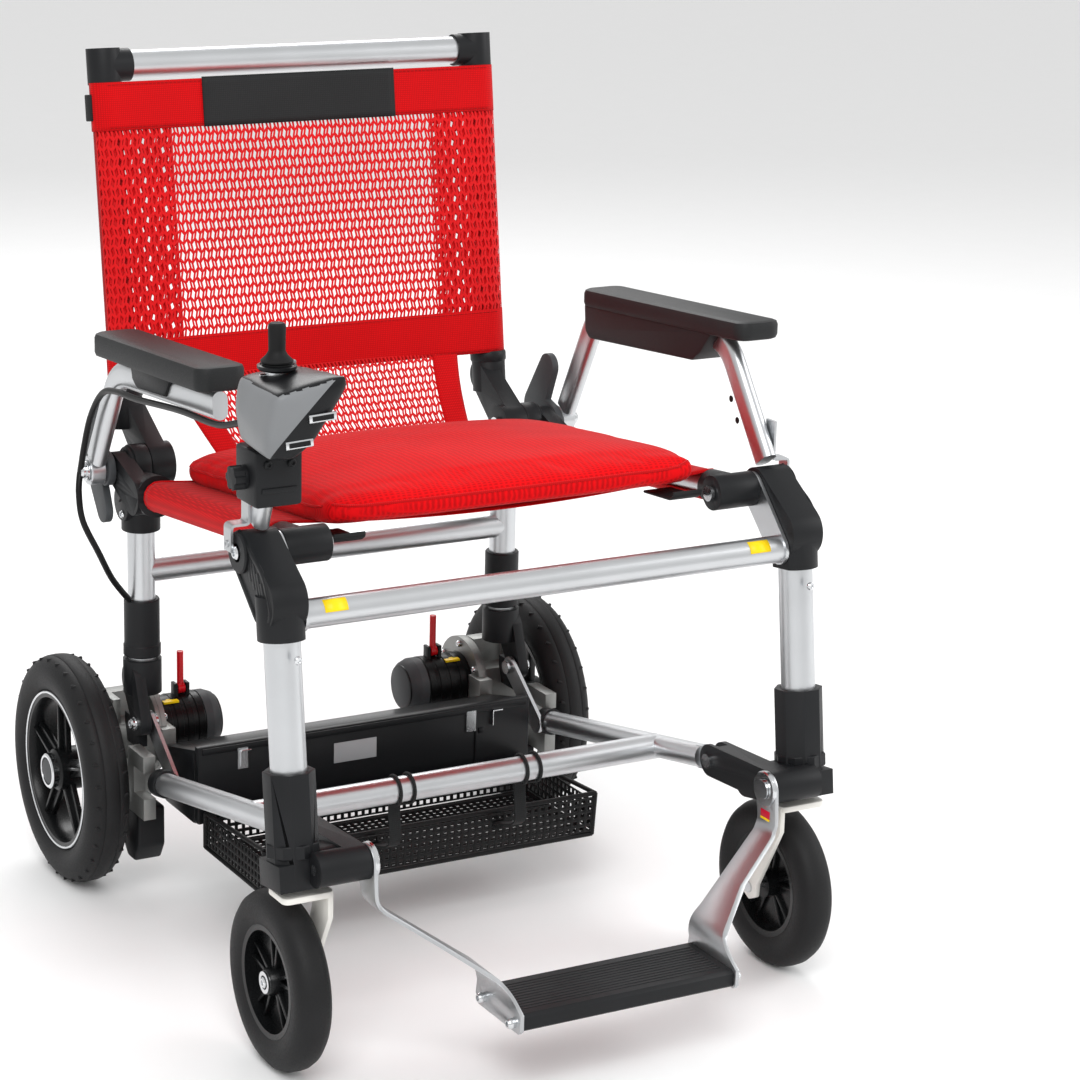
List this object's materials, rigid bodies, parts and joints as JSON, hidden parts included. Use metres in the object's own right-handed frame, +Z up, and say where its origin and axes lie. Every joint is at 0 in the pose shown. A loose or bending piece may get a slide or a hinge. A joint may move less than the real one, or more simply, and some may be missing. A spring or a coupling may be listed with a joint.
{
  "type": "folding power wheelchair",
  "caption": "Folding power wheelchair with red sling seat, mesh backrest, flip-up armrests, joystick pod, swivel casters, motor-driven rear wheels and a flip-up footplate.",
  "frame": {"origin": "on the floor, midway between the front of the footplate and the back of the drive wheels, on the centre line", "axes": "+Z up, the chair faces -Y, the user's right hand and the joystick are at -X"},
  "size_m": [0.6452, 0.851, 0.9134],
  "materials": {
    "anodised_tube": "satin",
    "black_moulding": "matte",
    "grey_moulding": "matte",
    "cast_housing": "satin",
    "motor_black": "satin",
    "zinc_hardware": "polished",
    "strap_metal": "brushed",
    "fork_white": "satin",
    "cable_black": "matte",
    "lever_red": "gloss",
    "tyre_black": "matte",
    "rim_black": "satin",
    "red_fabric": "matte",
    "black_fabric": "matte",
    "pad_foam": "matte",
    "pod_plastic": "satin",
    "stick_rubber": "matte",
    "tread_plastic": "satin",
    "basket_net": "matte"
  },
  "bodies": {
    "rear_frame": {"rear_legs": "anodised_tube", "hinge_brackets": "black_moulding", "hinge_covers": "grey_moulding", "leg_sleeves": "black_moulding", "lower_brackets": "black_moulding", "gearboxes": "cast_housing", "motors": "motor_black", "battery_case": "black_moulding", "battery_clips": "zinc_hardware", "antitip_feet": "black_moulding", "pivot_bolts": "zinc_hardware", "cable_lower": "cable_black"},
    "lever_r": {"release_lever_r": "lever_red"},
    "lever_l": {"release_lever_l": "lever_red"},
    "drive_wheel_r": {"tyre_r": "tyre_black", "rim_r": "rim_black"},
    "drive_wheel_l": {"tyre_l": "tyre_black", "rim_l": "rim_black"},
    "seat_frame": {"seat_rails": "anodised_tube", "seat_sling": "red_fabric", "rail_clamps": "black_moulding", "rail_yokes": "black_moulding", "seat_cushion": "red_fabric"},
    "armrest_r": {"arm_tube_r": "anodised_tube", "arm_pad_r": "pad_foam", "arm_latch_r": "strap_metal", "pod": "pod_plastic", "clamp_block": "black_moulding", "cable_upper": "cable_black"},
    "knob": {"clamp_knob": "black_moulding"},
    "stick_gimbal": {"gimbal": "black_moulding"},
    "stick": {"joystick": "stick_rubber"},
    "button": {"power_button": "grey_moulding"},
    "armrest_l": {"arm_tube_l": "anodised_tube", "arm_pad_l": "pad_foam", "arm_latch_l": "strap_metal"},
    "backrest": {"back_frame": "anodised_tube", "back_elbows": "black_moulding", "back_sockets": "black_moulding", "back_fabric": "red_fabric", "back_patch": "black_fabric"},
    "front_frame": {"front_legs": "anodised_tube", "front_crossbar": "anodised_tube", "front_brackets": "black_moulding", "front_sleeves": "black_moulding", "front_links": "black_moulding", "front_pins": "zinc_hardware"},
    "fork_body_r": {"fork_r": "fork_white"},
    "caster_r": {"caster_tyre_r": "tyre_black", "caster_rim_r": "rim_black"},
    "fork_body_l": {"fork_l": "fork_white"},
    "caster_l": {"caster_tyre_l": "tyre_black", "caster_rim_l": "rim_black"},
    "footrest": {"footrest_straps": "strap_metal", "footplate": "tread_plastic", "footrest_bolts": "zinc_hardware"},
    "lower_frame_body": {"lower_frame": "anodised_tube", "tube_collars": "black_moulding", "cargo_basket": "basket_net", "basket_bungees": "cable_black"}
  },
  "joints": [
    {"name": "fold", "type": "hinge", "parent": "rear_frame", "child": "seat_frame", "pos_m": [0, 0.222, 0.485], "axis": [-1, 0, 0], "range_deg": [0, 75]},
    {"name": "front_hinge", "type": "hinge", "parent": "seat_frame", "child": "front_frame", "pos_m": [0, -0.195, 0.506], "axis": [-1, 0, 0], "range_deg": [-75, 0]},
    {"name": "lower_swing", "type": "hinge", "parent": "rear_frame", "child": "lower_frame_body", "pos_m": [0, 0.222, 0.196], "axis": [-1, 0, 0], "range_deg": [0, 75]},
    {"name": "backrest_fold", "type": "hinge", "parent": "rear_frame", "child": "backrest", "pos_m": [0, 0.222, 0.485], "axis": [-1, 0, 0], "range_deg": [-75, 0]},
    {"name": "armrest_r_flip", "type": "hinge", "parent": "seat_frame", "child": "armrest_r", "pos_m": [0, 0.222, 0.485], "axis": [-1, 0, 0], "range_deg": [0, 90]},
    {"name": "armrest_l_flip", "type": "hinge", "parent": "seat_frame", "child": "armrest_l", "pos_m": [0, 0.222, 0.485], "axis": [-1, 0, 0], "range_deg": [0, 90]},
    {"name": "footrest_flip", "type": "hinge", "parent": "front_frame", "child": "footrest", "pos_m": [0, -0.307, 0.224], "axis": [-1, 0, 0], "range_deg": [0, 110]},
    {"name": "drive_spin_r", "type": "hinge", "parent": "rear_frame", "child": "drive_wheel_r", "pos_m": [0, 0.3, 0.127], "axis": [1, 0, 0], "continuous": true},
    {"name": "drive_spin_l", "type": "hinge", "parent": "rear_frame", "child": "drive_wheel_l", "pos_m": [0, 0.3, 0.127], "axis": [1, 0, 0], "continuous": true},
    {"name": "caster_swivel_r", "type": "hinge", "parent": "front_frame", "child": "fork_body_r", "pos_m": [-0.285, -0.276, 0.19], "axis": [0, 0, 1], "continuous": true},
    {"name": "caster_swivel_l", "type": "hinge", "parent": "front_frame", "child": "fork_body_l", "pos_m": [0.285, -0.276, 0.19], "axis": [0, 0, 1], "continuous": true},
    {"name": "caster_spin_r", "type": "hinge", "parent": "fork_body_r", "child": "caster_r", "pos_m": [0, -0.242, 0.089], "axis": [1, 0, 0], "continuous": true},
    {"name": "caster_spin_l", "type": "hinge", "parent": "fork_body_l", "child": "caster_l", "pos_m": [0, -0.242, 0.089], "axis": [1, 0, 0], "continuous": true},
    {"name": "release_lever_r_turn", "type": "hinge", "parent": "rear_frame", "child": "lever_r", "pos_m": [0, 0.292, 0.204], "axis": [1, 0, 0], "range_deg": [0, 45]},
    {"name": "release_lever_l_turn", "type": "hinge", "parent": "rear_frame", "child": "lever_l", "pos_m": [0, 0.292, 0.204], "axis": [1, 0, 0], "range_deg": [0, 45]},
    {"name": "joystick_fore_aft", "type": "hinge", "parent": "armrest_r", "child": "stick_gimbal", "pos_m": [-0.29, -0.243, 0.685], "axis": [1, 0, 0], "range_deg": [-14, 14], "stiffness_Nm_per_rad": 0.6},
    {"name": "joystick_side", "type": "hinge", "parent": "stick_gimbal", "child": "stick", "pos_m": [-0.29, -0.243, 0.685], "axis": [0, 1, 0], "range_deg": [-14, 14], "stiffness_Nm_per_rad": 0.6},
    {"name": "clamp_knob_turn", "type": "hinge", "parent": "armrest_r", "child": "knob", "pos_m": [-0.32, -0.221, 0.586], "axis": [1, 0, 0], "range_deg": [-180, 180]},
    {"name": "power_press", "type": "slide", "parent": "armrest_r", "child": "button", "axis": [0, 0, -1], "range_m": [0, 0.0015], "stiffness_N_per_m": 400}
  ],
  "couplings": [
    {"joint": "front_hinge", "follows": "fold", "ratio": -1},
    {"joint": "lower_swing", "follows": "fold", "ratio": 1}
  ]
}
